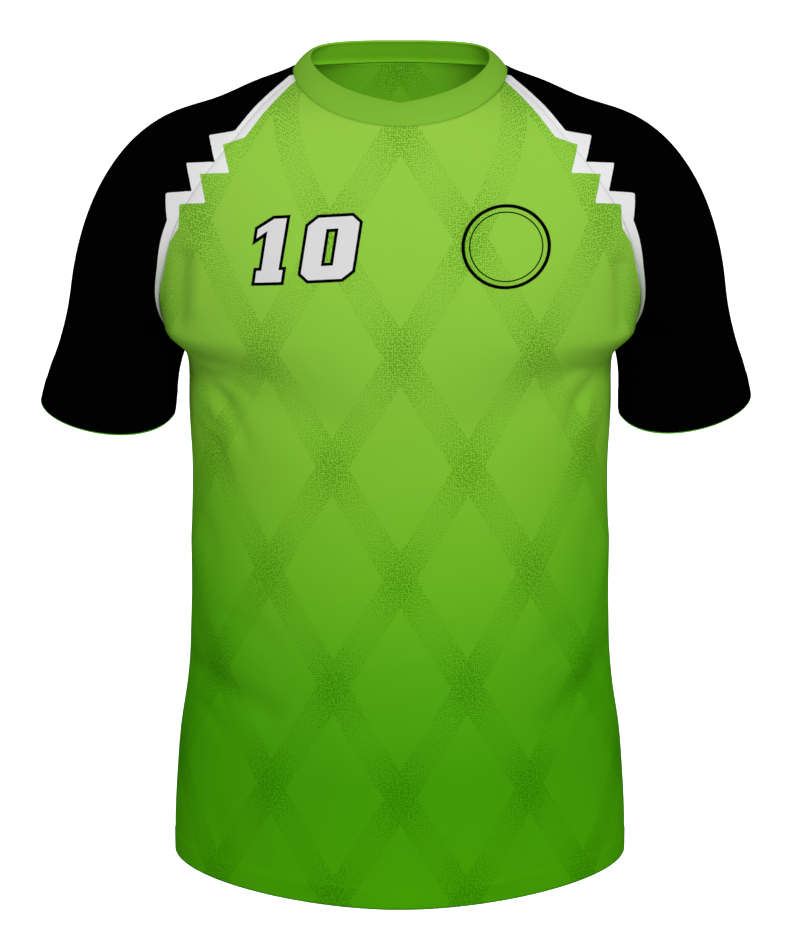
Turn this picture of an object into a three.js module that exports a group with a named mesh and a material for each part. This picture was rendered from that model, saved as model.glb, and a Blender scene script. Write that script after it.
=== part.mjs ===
// A short-sleeved football jersey in a men's medium, filled out as if worn, hollow, with nobody in it.
// Raglan cut: a front and a back that run up to the neck, two sleeves set in along slanting seams
// from the armpits to the neck, and a folded crew-neck band. Each cut piece is its own mesh, a thin
// wall that stops just short of its neighbour along every seam.
// Millimetres. X runs to the right seen from the front, the front faces -Y, Z is up. The origin lies
// between the two points where the shoulders meet the neck, where the wearer's shoulders hold it.
import * as THREE from "three";

const CLOTH = 1.5; // wall of the knitted cloth
const COLLAR_BAND = 2.4; // the neck band is folded double
const BAND_SWELL = 1.2; // how far the band rounds out between its seam and its free edge
const SEAM_GAP = 0.4; // from one piece's edge to the next, along every seam
const SIDE_REACH = 0.6; // how far a body row runs straight into its seam, as a share of its depth

// Rows of the front, from the neck seam down. x, out, z: where the row ends, on the raglan seam down
// to the armpit and on the side seam below it; out is the distance towards the panel's own face.
// midOut, midZ: where it crosses the panel's middle. yaw, pitch: which way the cloth faces at the
// row's end, in degrees outwards from straight ahead and upwards. rise: how steeply the row climbs
// there. midReach: how far the row runs straight across from the middle, as a share of its half width.
const FRONT_ROWS = [
  { x: 91.5, out: 20, z: -5.5, midOut: 85, midZ: -42.5, yaw: 21, pitch: 65, rise: 62, midReach: 0.55 },
  { x: 118, out: 58, z: -27, midOut: 91, midZ: -66, yaw: 20, pitch: 48, rise: 30, midReach: 0.55 },
  { x: 137, out: 72, z: -49, midOut: 97, midZ: -84, yaw: 20, pitch: 36, rise: 18, midReach: 0.55 },
  { x: 156, out: 80, z: -71, midOut: 103, midZ: -101, yaw: 21, pitch: 26, rise: 10, midReach: 0.55 },
  { x: 172, out: 81, z: -93, midOut: 108, midZ: -118, yaw: 24, pitch: 18, rise: 6, midReach: 0.55 },
  { x: 186, out: 77, z: -115, midOut: 113, midZ: -136, yaw: 31, pitch: 12, rise: 3, midReach: 0.55 },
  { x: 197, out: 69, z: -140, midOut: 118, midZ: -156, yaw: 41, pitch: 7, rise: 0, midReach: 0.55 },
  { x: 205, out: 55, z: -167, midOut: 122, midZ: -179, yaw: 55, pitch: 3, rise: 0, midReach: 0.55 },
  { x: 210.5, out: 36, z: -197, midOut: 124, midZ: -205, yaw: 71, pitch: 0, rise: 0, midReach: 0.55 },
  { x: 205, out: 18, z: -223, midOut: 125, midZ: -231, yaw: 82, pitch: 0, rise: 0, midReach: 0.55 },
  { x: 190.5, out: 0, z: -247, midOut: 125, midZ: -257, yaw: 90, pitch: 0, rise: 0, midReach: 0.55 },
  { x: 188.8, out: 0, z: -295, midOut: 123, midZ: -303, yaw: 90, pitch: 0, rise: 0, midReach: 0.54 },
  { x: 187, out: 0, z: -345, midOut: 121, midZ: -352, yaw: 90, pitch: 0, rise: 0, midReach: 0.52 },
  { x: 188, out: 0, z: -395, midOut: 120, midZ: -402, yaw: 90, pitch: 0, rise: 0, midReach: 0.5 },
  { x: 189, out: 0, z: -446, midOut: 121, midZ: -453, yaw: 90, pitch: 0, rise: 0, midReach: 0.48 },
  { x: 191, out: 0, z: -500, midOut: 123, midZ: -507, yaw: 90, pitch: 0, rise: 0, midReach: 0.45 },
  { x: 194.8, out: 0, z: -552, midOut: 126, midZ: -559, yaw: 90, pitch: 0, rise: 0, midReach: 0.43 },
  { x: 201.5, out: 0, z: -594, midOut: 129, midZ: -601, yaw: 90, pitch: 0, rise: 0, midReach: 0.42 },
  { x: 206, out: 0, z: -639, midOut: 131, midZ: -647, yaw: 90, pitch: 0, rise: 0, midReach: 0.42 },
  { x: 208.8, out: 0, z: -682, midOut: 132, midZ: -691, yaw: 90, pitch: 0, rise: 0, midReach: 0.43 },
  { x: 209.3, out: 0, z: -718, midOut: 132, midZ: -728, yaw: 90, pitch: 0, rise: 0, midReach: 0.43 },
];

// Rows of the back, in the same columns. Its ends meet the front's along the side seams.
const BACK_ROWS = [
  { x: 90.5, out: 21, z: 2.5, midOut: 58, midZ: 2, yaw: 40, pitch: 64, rise: 18, midReach: 0.55 },
  { x: 114, out: 57, z: -20, midOut: 73, midZ: -24, yaw: 22, pitch: 48, rise: 20, midReach: 0.55 },
  { x: 132, out: 74, z: -43, midOut: 85, midZ: -48, yaw: 18, pitch: 36, rise: 10, midReach: 0.55 },
  { x: 150, out: 84, z: -67, midOut: 95, midZ: -72, yaw: 19, pitch: 27, rise: 6, midReach: 0.55 },
  { x: 166, out: 87, z: -91, midOut: 103, midZ: -96, yaw: 23, pitch: 19, rise: 3, midReach: 0.55 },
  { x: 180, out: 84, z: -115, midOut: 109, midZ: -121, yaw: 30, pitch: 13, rise: 0, midReach: 0.55 },
  { x: 191, out: 75, z: -141, midOut: 113, midZ: -148, yaw: 41, pitch: 8, rise: 0, midReach: 0.55 },
  { x: 199, out: 59, z: -168, midOut: 115.5, midZ: -176, yaw: 55, pitch: 3, rise: 0, midReach: 0.55 },
  { x: 205, out: 39, z: -197, midOut: 116, midZ: -205, yaw: 71, pitch: 0, rise: 0, midReach: 0.55 },
  { x: 201, out: 19, z: -223, midOut: 115, midZ: -232, yaw: 82, pitch: 0, rise: 0, midReach: 0.55 },
  { x: 190.5, out: 0, z: -247, midOut: 113.5, midZ: -258, yaw: 90, pitch: 0, rise: 0, midReach: 0.55 },
  { x: 188.8, out: 0, z: -295, midOut: 109, midZ: -303, yaw: 90, pitch: 0, rise: 0, midReach: 0.55 },
  { x: 187, out: 0, z: -345, midOut: 104, midZ: -352, yaw: 90, pitch: 0, rise: 0, midReach: 0.55 },
  { x: 188, out: 0, z: -395, midOut: 101, midZ: -402, yaw: 90, pitch: 0, rise: 0, midReach: 0.55 },
  { x: 189, out: 0, z: -446, midOut: 102, midZ: -453, yaw: 90, pitch: 0, rise: 0, midReach: 0.54 },
  { x: 191, out: 0, z: -500, midOut: 107, midZ: -507, yaw: 90, pitch: 0, rise: 0, midReach: 0.52 },
  { x: 194.8, out: 0, z: -552, midOut: 114, midZ: -559, yaw: 90, pitch: 0, rise: 0, midReach: 0.5 },
  { x: 201.5, out: 0, z: -594, midOut: 120, midZ: -601, yaw: 90, pitch: 0, rise: 0, midReach: 0.48 },
  { x: 206, out: 0, z: -639, midOut: 125, midZ: -646, yaw: 90, pitch: 0, rise: 0, midReach: 0.47 },
  { x: 208.8, out: 0, z: -682, midOut: 127, midZ: -690, yaw: 90, pitch: 0, rise: 0, midReach: 0.46 },
  { x: 209.3, out: 0, z: -718, midOut: 128, midZ: -727, yaw: 90, pitch: 0, rise: 0, midReach: 0.46 },
];
const ARMPIT_ROW = 10; // the row of both tables whose ends are the armpits

// Rows of a sleeve, from the neck seam down. topX, topY, topZ: the row's crossing of the sleeve's top
// line. rise: how steeply the row leaves the raglan seam. crease: how sharply the cloth folds at that
// seam, up to a half turn at the armpit. seamReach, topReach: how far the row runs straight there.
// dip: how far it slopes down to the front. Below the armpit a row is a ring, from the underarm seam
// round to it again, and the crease is how far it turns there.
const SLEEVE_ROWS = [
  { topX: 93.5, topY: 0, topZ: 0, rise: 62, crease: 0, seamReach: 7, topReach: 7, dip: 0 },
  { topX: 127, topY: 3, topZ: -11.5, rise: 66, crease: 0, seamReach: 24, topReach: 25, dip: 0 },
  { topX: 159.5, topY: 4, topZ: -25.5, rise: 56, crease: 0, seamReach: 32, topReach: 34, dip: 0 },
  { topX: 194, topY: 4, topZ: -36, rise: 42, crease: 0, seamReach: 38, topReach: 40, dip: 0 },
  { topX: 224.5, topY: 3, topZ: -53, rise: 27, crease: 2, seamReach: 42, topReach: 45, dip: 0 },
  { topX: 248.5, topY: 1, topZ: -78, rise: 14, crease: 9, seamReach: 42, topReach: 48, dip: 0 },
  { topX: 267, topY: -1, topZ: -109, rise: 6, crease: 30, seamReach: 43, topReach: 53, dip: 0 },
  { topX: 279.5, topY: -2, topZ: -142.5, rise: 2, crease: 70, seamReach: 46, topReach: 63, dip: 1 },
  { topX: 287, topY: -3, topZ: -176, rise: 0, crease: 121, seamReach: 56, topReach: 78, dip: 3 },
  { topX: 292.5, topY: -3, topZ: -209.5, rise: 0, crease: 154, seamReach: 74, topReach: 86, dip: 5 },
  { topX: 302, topY: -3, topZ: -243, rise: 0, crease: 160, seamReach: 88, topReach: 87, dip: 8 },
  { topX: 308, topY: -3, topZ: -259, rise: 0, crease: 165, seamReach: 92, topReach: 83, dip: 10 },
  { topX: 313, topY: -3, topZ: -275, rise: 0, crease: 170, seamReach: 96, topReach: 76, dip: 12 },
  { topX: 317, topY: -3, topZ: -291, rise: 0, crease: 174, seamReach: 101, topReach: 67, dip: 13 },
];

// The underarm seam, from the armpit to the cuff, a point for each of the last rows of a sleeve.
const UNDERARM = [
  { x: 190.5, z: -247 },
  { x: 195.5, z: -264 },
  { x: 198.5, z: -284 },
  { x: 201, z: -304 },
];

// How each sleeve hangs a little differently at its cuff: how far its top line lies out and up from the
// table above, and how far its underarm seam lies out.
const SLEEVE_LIE = {
  right: { out: -3.7, up: 5, underOut: -5.5 },
  left: { out: 3.7, up: 0, underOut: 0 },
};
const LIE_FROM_ROW = 4; // the row from which the top line begins to differ

// The neck band's free edge, from the middle of the front round to the middle of the back.
const NECK_EDGE = [
  { x: 0, y: -70, z: -24 },
  { x: 24, y: -66, z: -19.5 },
  { x: 49, y: -54, z: -12 },
  { x: 67.5, y: -36, z: -2 },
  { x: 76.5, y: -15, z: 7 },
  { x: 77.5, y: 2, z: 13.5 },
  { x: 73, y: 20, z: 17.5 },
  { x: 58, y: 34, z: 20.3 },
  { x: 30, y: 42.5, z: 21.5 },
  { x: 0, y: 45, z: 21.5 },
];

// Soft folds and swells, along a line across one face of the jersey. width is the fold's half width and
// height how far it stands out, or in where it is below zero.
const FOLDS = [
  { face: "front", fromX: -120, fromZ: -175, toX: -70, toZ: -205, width: 60, height: 4 },
  { face: "front", fromX: 120, fromZ: -175, toX: 70, toZ: -205, width: 60, height: 4 },
  { face: "front", fromX: -150, fromZ: -262, toX: -62, toZ: -292, width: 26, height: -3.5 },
  { face: "front", fromX: 150, fromZ: -258, toX: 66, toZ: -296, width: 26, height: -3 },
  { face: "front", fromX: -186, fromZ: -156, toX: -192, toZ: -210, width: 9, height: -3.5 },
  { face: "front", fromX: 188, fromZ: -162, toX: 191, toZ: -214, width: 8, height: -3 },
  { face: "front", fromX: -168, fromZ: -150, toX: -174, toZ: -196, width: 8, height: 1.6 },
  { face: "front", fromX: 181, fromZ: -262, toX: 160, toZ: -281, width: 10, height: -3 },
  { face: "front", fromX: -181, fromZ: -268, toX: -158, toZ: -282, width: 10, height: -2.5 },
  { face: "front", fromX: -186, fromZ: -531, toX: -120, toZ: -556, width: 14, height: -3.5 },
  { face: "front", fromX: 188, fromZ: -520, toX: 136, toZ: -568, width: 15, height: -3.5 },
  { face: "front", fromX: 182, fromZ: -420, toX: 158, toZ: -520, width: 18, height: 2.5 },
  { face: "front", fromX: -180, fromZ: -420, toX: -150, toZ: -510, width: 20, height: 2 },
  { face: "front", fromX: -40, fromZ: -585, toX: -75, toZ: -700, width: 24, height: 2.5 },
  { face: "front", fromX: 52, fromZ: -570, toX: 84, toZ: -705, width: 26, height: 2.5 },
  { face: "front", fromX: 8, fromZ: -600, toX: 4, toZ: -715, width: 22, height: -2 },
  { face: "front", fromX: -232, fromZ: -176, toX: -262, toZ: -246, width: 10, height: -3 },
  { face: "front", fromX: -222, fromZ: -206, toX: -240, toZ: -262, width: 8, height: 2 },
  { face: "front", fromX: 226, fromZ: -168, toX: 256, toZ: -232, width: 10, height: -3 },
  { face: "front", fromX: 238, fromZ: -214, toX: 270, toZ: -268, width: 9, height: 2 },
  { face: "back", fromX: -118, fromZ: -120, toX: -96, toZ: -190, width: 46, height: 4 },
  { face: "back", fromX: 118, fromZ: -120, toX: 96, toZ: -190, width: 46, height: 4 },
  { face: "back", fromX: 0, fromZ: -110, toX: 3, toZ: -330, width: 26, height: -4 },
  { face: "back", fromX: -176, fromZ: -206, toX: -128, toZ: -268, width: 12, height: -3.5 },
  { face: "back", fromX: 178, fromZ: -212, toX: 132, toZ: -262, width: 12, height: -3.5 },
  { face: "back", fromX: -130, fromZ: -372, toX: -20, toZ: -398, width: 17, height: -3.5 },
  { face: "back", fromX: -22, fromZ: -430, toX: 118, toZ: -408, width: 18, height: -3.5 },
  { face: "back", fromX: -140, fromZ: -420, toX: -60, toZ: -440, width: 16, height: 2 },
  { face: "back", fromX: 168, fromZ: -520, toX: 110, toZ: -566, width: 15, height: -3 },
  { face: "back", fromX: -166, fromZ: -530, toX: -104, toZ: -560, width: 15, height: -3 },
  { face: "back", fromX: 44, fromZ: -560, toX: 62, toZ: -700, width: 26, height: 3 },
  { face: "back", fromX: -52, fromZ: -580, toX: -66, toZ: -705, width: 24, height: 3 },
  { face: "back", fromX: -230, fromZ: -182, toX: -258, toZ: -250, width: 10, height: -3 },
  { face: "back", fromX: 228, fromZ: -176, toX: 260, toZ: -242, width: 10, height: -3 },
];
const FOLD_FADE = 22; // folds die out over this distance from a seam or an edge

const HALF_TURN = 180;
const DOWN = new THREE.Vector3(0, 0, -1);
const radians = THREE.MathUtils.degToRad;

// The smooth curve through a table's column, a natural cubic spline with a knot at each row.
function spline(values) {
  const last = values.length - 1;
  const bend = new Array(last + 1).fill(0);
  const share = new Array(last + 1).fill(0);
  for (let i = 1; i < last; i++) {
    const pivot = 4 - share[i - 1];
    share[i] = 1 / pivot;
    bend[i] = (6 * (values[i + 1] - 2 * values[i] + values[i - 1]) - bend[i - 1]) / pivot;
  }
  for (let i = last - 1; i > 0; i--) bend[i] -= share[i] * bend[i + 1];
  return (at) => {
    const i = Math.min(Math.max(Math.floor(at), 0), last - 1);
    const b = at - i;
    const a = 1 - b;
    const curved = ((a ** 3 - a) * bend[i] + (b ** 3 - b) * bend[i + 1]) / 6;
    return a * values[i] + b * values[i + 1] + curved;
  };
}

// A table as a function of the row number, which may lie between rows.
function columnsOf(rows) {
  const names = Object.keys(rows[0]);
  const curves = names.map((name) => spline(rows.map((row) => row[name])));
  return (at) => Object.fromEntries(names.map((name, i) => [name, curves[i](at)]));
}

const front = columnsOf(FRONT_ROWS);
const back = columnsOf(BACK_ROWS);
const underarm = columnsOf(UNDERARM);
const sleeve = columnsOf(SLEEVE_ROWS);

// Where a row of a body panel ends, seen as if every panel were the front: the point, how the panel and
// the sleeve face there, and the directions in which their rows cross the seam.
function seamAt(panel, at) {
  const step = 0.01;
  const end = panel(at);
  const point = new THREE.Vector3(end.x, -end.out, end.z);
  const a = panel(at - step);
  const b = panel(at + step);
  const along = new THREE.Vector3(b.x - a.x, a.out - b.out, b.z - a.z).normalize();
  const yaw = radians(end.yaw);
  const pitch = radians(end.pitch);
  const facing = new THREE.Vector3(
    Math.sin(yaw) * Math.cos(pitch),
    -Math.cos(yaw) * Math.cos(pitch),
    Math.sin(pitch),
  );
  facing.addScaledVector(along, -facing.dot(along)).normalize();
  const level = new THREE.Vector3(-facing.y, facing.x, 0).normalize();
  const uphill = new THREE.Vector3().crossVectors(facing, level);
  const leaving = (rise) =>
    level
      .clone()
      .multiplyScalar(Math.cos(radians(rise)))
      .addScaledVector(uphill, Math.sin(radians(rise)));
  const own = leaving(end.rise);
  if (at > ARMPIT_ROW) return { point, facing, own, across: own };
  const { rise, crease } = sleeve(at);
  const next = leaving(rise).applyAxisAngle(DOWN, radians(crease));
  const nextFacing = new THREE.Vector3().crossVectors(along, next).normalize();
  const across = own.clone().add(next).normalize();
  return { point, facing, own, next, nextFacing, across };
}

// One half of a body panel's row, from the middle to the seam, and how the panel faces at the seam.
function bodyHalfRow(panel, at, halfColumns) {
  const { midOut, midZ, midReach } = panel(at);
  const { point, own, across, facing } = seamAt(panel, at);
  const middle = new THREE.Vector3(0, -midOut, midZ);
  const end = point.addScaledVector(across, -SEAM_GAP / 2);
  end.y = Math.min(end.y, -SEAM_GAP / 2);
  const depth = Math.hypot(end.y - middle.y, end.z - middle.z);
  const curve = new THREE.CubicBezierCurve3(
    middle,
    middle.clone().add(new THREE.Vector3(midReach * end.x, 0, 0)),
    end.clone().addScaledVector(own, -SIDE_REACH * depth),
    end,
  );
  return { points: curve.getSpacedPoints(halfColumns), facing };
}

// One half of a sleeve's row, from its seam to the top line, seen as if every half were the front one
// of the right sleeve, and how the sleeve faces at the seam.
function sleeveHalfRow(panel, at, half, halfColumns, lie) {
  const { topX, topY, topZ, crease, seamReach, topReach, dip } = sleeve(at);
  const last = SLEEVE_ROWS.length - 1;
  const share = THREE.MathUtils.clamp((at - LIE_FROM_ROW) / (last - LIE_FROM_ROW), 0, 1);
  const top = new THREE.Vector3(topX + lie.out * share, topY * half, topZ + lie.up * share);
  const aheadAt = (slope) =>
    new THREE.Vector3(0, -Math.cos(radians(slope)), -half * Math.sin(radians(slope)));
  let start;
  let leave;
  let facing;
  if (at > ARMPIT_ROW) {
    const { x, z } = underarm(at - ARMPIT_ROW);
    const underShare = (at - ARMPIT_ROW) / (last - ARMPIT_ROW);
    start = new THREE.Vector3(x + lie.underOut * underShare, -SEAM_GAP / 2, z);
    leave = aheadAt(dip * underShare).applyAxisAngle(DOWN, radians(crease - HALF_TURN));
    facing = new THREE.Vector3(-1, 0, 0);
  } else {
    const seam = seamAt(panel, at);
    start = seam.point.addScaledVector(seam.across, SEAM_GAP / 2);
    start.y = Math.min(start.y, -SEAM_GAP / 2);
    leave = seam.next;
    facing = seam.nextFacing;
  }
  const curve = new THREE.CubicBezierCurve3(
    start,
    start.clone().addScaledVector(leave, seamReach),
    top.clone().addScaledVector(aheadAt(dip), topReach),
    top,
  );
  return { points: curve.getSpacedPoints(halfColumns), facing };
}

// Row numbers, evenly spread between two rows.
const rowNumbers = (from, to, steps) =>
  Array.from({ length: steps + 1 }, (_, i) => from + ((to - from) * i) / steps);

const mirrored = (axis, vectors) =>
  vectors.map((v) => v.clone().setComponent(axis, -v.getComponent(axis)));

// A sheet of cloth: rows of points on its outer face, from the neck down, and how it faces at each
// row's two ends. A body panel's rows run from the left seam to the right one.
function bodySheet(panel, side, numbers, halfColumns) {
  const rows = [];
  const ends = [];
  for (const at of numbers) {
    const { points, facing } = bodyHalfRow(panel, at, halfColumns);
    const row = [...mirrored(0, points.slice(1)).reverse(), ...points];
    const faced = [...mirrored(0, [facing]), facing];
    rows.push(side === "front" ? row : mirrored(1, row));
    ends.push(side === "front" ? faced : mirrored(1, faced));
  }
  return { rows, ends };
}

// A sleeve's rows run from the front seam over the top to the back one.
function sleeveSheet(side, numbers, halfColumns) {
  const rows = [];
  const ends = [];
  for (const at of numbers) {
    const ahead = sleeveHalfRow(front, at, 1, halfColumns, SLEEVE_LIE[side]);
    const behind = sleeveHalfRow(back, at, -1, halfColumns, SLEEVE_LIE[side]);
    const row = [...ahead.points, ...mirrored(1, behind.points).reverse().slice(1)];
    const faced = [ahead.facing, ...mirrored(1, [behind.facing])];
    rows.push(side === "right" ? row : mirrored(0, row));
    ends.push(side === "right" ? faced : mirrored(0, faced));
  }
  return { rows, ends };
}

// The outward direction at each point of a sheet. winding is -1 where a row runs the other way round.
function facings({ rows, ends }, winding) {
  const last = rows[0].length - 1;
  return rows.map((row, i) =>
    row.map((_, k) => {
      if (k === 0) return ends[i][0];
      if (k === last) return ends[i][1];
      const above = rows[Math.max(i - 1, 0)][k];
      const below = rows[Math.min(i + 1, rows.length - 1)][k];
      const down = below.clone().sub(above);
      const across = row[k + 1].clone().sub(row[k - 1]);
      return down.cross(across).normalize().multiplyScalar(winding);
    }),
  );
}

// How far the folds move a point of the outer face along its normal.
function foldHeight(point) {
  const face = point.y < 0 ? "front" : "back";
  let height = 0;
  for (const fold of FOLDS.filter((f) => f.face === face)) {
    const from = new THREE.Vector2(fold.fromX, fold.fromZ);
    const line = new THREE.Vector2(fold.toX, fold.toZ).sub(from);
    const here = new THREE.Vector2(point.x, point.z).sub(from);
    const along = THREE.MathUtils.clamp(here.dot(line) / line.lengthSq(), 0, 1);
    const away = here.addScaledVector(line, -along).length() / fold.width;
    height += fold.height * Math.exp(-(away ** 2));
  }
  return height;
}

// A sheet with its folds pressed in.
function folded(sheet, winding) {
  const normals = facings(sheet, winding);
  const { rows } = sheet;
  const nearest = (i, k) => {
    const ends = [rows[i][0], rows[i].at(-1), rows[0][k], rows.at(-1)[k]];
    return Math.min(...ends.map((end) => end.distanceTo(rows[i][k])));
  };
  const moved = rows.map((row, i) =>
    row.map((point, k) => {
      const fade = THREE.MathUtils.smoothstep(nearest(i, k), 0, FOLD_FADE);
      return point.clone().addScaledVector(normals[i][k], fade * foldHeight(point));
    }),
  );
  return { rows: moved, ends: sheet.ends };
}

// The closed skin over a grid of points. Its rows join up into a ring where closed is true, and each
// row's points always do. side is 1 where rows then columns turn left seen from outside.
function skin(grid, closed, side) {
  const high = grid.length;
  const wide = grid[0].length;
  const faces = [];
  const triangle = (a, b, c) => faces.push(...(side > 0 ? [a, b, c] : [a, c, b]));
  for (let i = 0; i < (closed ? high : high - 1); i++) {
    for (let k = 0; k < wide; k++) {
      const a = i * wide + k;
      const b = ((i + 1) % high) * wide + k;
      const c = ((i + 1) % high) * wide + ((k + 1) % wide);
      const d = i * wide + ((k + 1) % wide);
      triangle(a, b, c);
      triangle(a, c, d);
    }
  }
  // An open skin's two ends are strips between its outer points and the inner ones that mirror them.
  for (let k = 0; !closed && k < wide / 2 - 1; k++) {
    const back = wide - 1 - k;
    triangle(k, k + 1, back - 1);
    triangle(k, back - 1, back);
    const low = (high - 1) * wide;
    triangle(low + k, low + back - 1, low + k + 1);
    triangle(low + k, low + back, low + back - 1);
  }
  const geometry = new THREE.BufferGeometry().setFromPoints(grid.flat()).setIndex(faces);
  geometry.computeVertexNormals();
  return geometry;
}

// The wall of cloth whose outer face is a sheet, as one closed body.
function wall(sheet, winding) {
  const normals = facings(sheet, winding);
  const grid = sheet.rows.map((row, i) => {
    const inner = row.map((p, k) => p.clone().addScaledVector(normals[i][k], -CLOTH));
    return [...row, ...inner.reverse()];
  });
  return skin(grid, false, winding);
}

// The neck band, a folded strip that stands on the panels' top edges and leans in to its free edge.
function neckBand(panels) {
  const seam = [];
  for (const { sheet, winding } of panels) {
    const { rows } = sheet;
    const normals = facings(sheet, winding);
    const stations = rows[0].map((point, k, row) => {
      const onwards = row[Math.min(k + 1, row.length - 1)].clone().sub(row[Math.max(k - 1, 0)]);
      const up = normals[0][k].clone().cross(onwards).normalize();
      return { point: point.clone().addScaledVector(up, SEAM_GAP), facing: normals[0][k] };
    });
    seam.push(...stations);
  }
  const edgePoints = NECK_EDGE.map(({ x, y, z }) => new THREE.Vector3(x, y, z));
  const edge = new THREE.CatmullRomCurve3(edgePoints);
  const front = seam.findIndex(({ point }) => Math.abs(point.x) < 1e-6);
  const lengths = [0];
  for (let i = 1; i <= seam.length; i++) {
    const here = seam[(front + i) % seam.length].point;
    const before = seam[(front + i - 1) % seam.length].point;
    lengths.push(lengths[i - 1] + here.distanceTo(before));
  }
  const round = lengths.at(-1);
  const grid = seam.map((_, i) => {
    const { point, facing } = seam[(front + i) % seam.length];
    const share = lengths[i] / round;
    const top = edge.getPointAt(1 - Math.abs(1 - 2 * share));
    if (share > 0.5) top.x = -top.x;
    return bandProfile(point, facing, top);
  });
  return skin(grid, true, 1);
}

// A section of the neck band, from its outer face at the seam over its rolled edge and back inside.
function bandProfile(seam, facing, top) {
  const radius = COLLAR_BAND / 2;
  const up = top.clone().sub(seam);
  const width = up.length();
  up.normalize();
  const out = facing.clone().addScaledVector(up, -facing.dot(up)).normalize();
  const at = (along, outward) =>
    seam.clone().addScaledVector(up, along).addScaledVector(out, outward);
  const swell = (share) => 4 * BAND_SWELL * share * (1 - share);
  const shares = [0.2, 0.4, 0.6, 0.8];
  const roll = [0, 45, 90, 135, 180].map((turn) =>
    at(
      width - radius + radius * Math.sin(radians(turn)),
      radius * (Math.cos(radians(turn)) - 1),
    ),
  );
  return [
    seam,
    ...shares.map((share) => at(share * width, swell(share))),
    ...roll,
    ...shares.map((share) => at(share * width, swell(share) - COLLAR_BAND)).reverse(),
    seam.clone().addScaledVector(facing, -COLLAR_BAND),
  ];
}

const GREEN = new THREE.MeshStandardMaterial({ color: 0x6db52c, roughness: 0.85, metalness: 0 });
const COLLAR_GREEN = new THREE.MeshStandardMaterial({ color: 0x5fa428, roughness: 0.85, metalness: 0 });
const BLACK = new THREE.MeshStandardMaterial({ color: 0x0a0a0b, roughness: 0.85, metalness: 0 });

const BODY_NUMBERS = [
  ...rowNumbers(0, ARMPIT_ROW, 18),
  ...rowNumbers(ARMPIT_ROW, FRONT_ROWS.length - 1, 17).slice(1),
];
const SLEEVE_NUMBERS = [
  ...rowNumbers(0, ARMPIT_ROW, 18),
  ...rowNumbers(ARMPIT_ROW, SLEEVE_ROWS.length - 1, 4).slice(1),
];
const BODY_HALF_COLUMNS = 12;
const SLEEVE_HALF_COLUMNS = 12;

const panels = {
  front: { sheet: bodySheet(front, "front", BODY_NUMBERS, BODY_HALF_COLUMNS), winding: 1 },
  sleeve_right: { sheet: sleeveSheet("right", SLEEVE_NUMBERS, SLEEVE_HALF_COLUMNS), winding: 1 },
  back: { sheet: bodySheet(back, "back", BODY_NUMBERS, BODY_HALF_COLUMNS), winding: -1 },
  sleeve_left: { sheet: sleeveSheet("left", SLEEVE_NUMBERS, SLEEVE_HALF_COLUMNS), winding: -1 },
};
const jersey = new THREE.Group();
function add(name, geometry, material) {
  const piece = new THREE.Mesh(geometry, material);
  piece.name = name;
  jersey.add(piece);
}
for (const [name, { sheet, winding }] of Object.entries(panels)) {
  const material = name.startsWith("sleeve") ? BLACK : GREEN;
  add(name, wall(folded(sheet, winding), winding), material);
}
const backwards = ({ rows, ends }) => ({
  rows: rows.map((row) => [...row].reverse()),
  ends: ends.map((pair) => [...pair].reverse()),
});
add(
  "collar",
  neckBand([
    panels.front,
    panels.sleeve_right,
    { sheet: backwards(panels.back.sheet), winding: 1 },
    { sheet: backwards(panels.sleeve_left.sheet), winding: 1 },
  ]),
  COLLAR_GREEN,
);

export default jersey;
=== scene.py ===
import math

import bmesh
import bpy
import numpy as np
from mathutils import Matrix, Vector
from mathutils.bvhtree import BVHTree


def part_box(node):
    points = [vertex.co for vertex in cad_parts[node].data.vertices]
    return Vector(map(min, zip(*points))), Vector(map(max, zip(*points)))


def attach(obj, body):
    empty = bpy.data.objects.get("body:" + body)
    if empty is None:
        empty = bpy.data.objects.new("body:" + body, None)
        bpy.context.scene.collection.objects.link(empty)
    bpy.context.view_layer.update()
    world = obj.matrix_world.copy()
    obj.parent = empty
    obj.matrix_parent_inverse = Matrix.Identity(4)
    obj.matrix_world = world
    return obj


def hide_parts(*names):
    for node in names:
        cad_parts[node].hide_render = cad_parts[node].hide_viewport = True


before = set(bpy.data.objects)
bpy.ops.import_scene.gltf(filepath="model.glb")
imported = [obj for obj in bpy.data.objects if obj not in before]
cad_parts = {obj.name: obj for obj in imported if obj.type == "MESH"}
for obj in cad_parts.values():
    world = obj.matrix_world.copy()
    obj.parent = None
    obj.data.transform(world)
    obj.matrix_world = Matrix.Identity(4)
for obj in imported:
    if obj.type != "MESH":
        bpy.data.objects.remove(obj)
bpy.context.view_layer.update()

# A short-sleeved football jersey of printed polyester interlock, filled out as if worn, hollow, with
# nobody in it. Every sheet here lies on its solid's form. Blender's lengths are metres.
MM = 0.001

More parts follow.
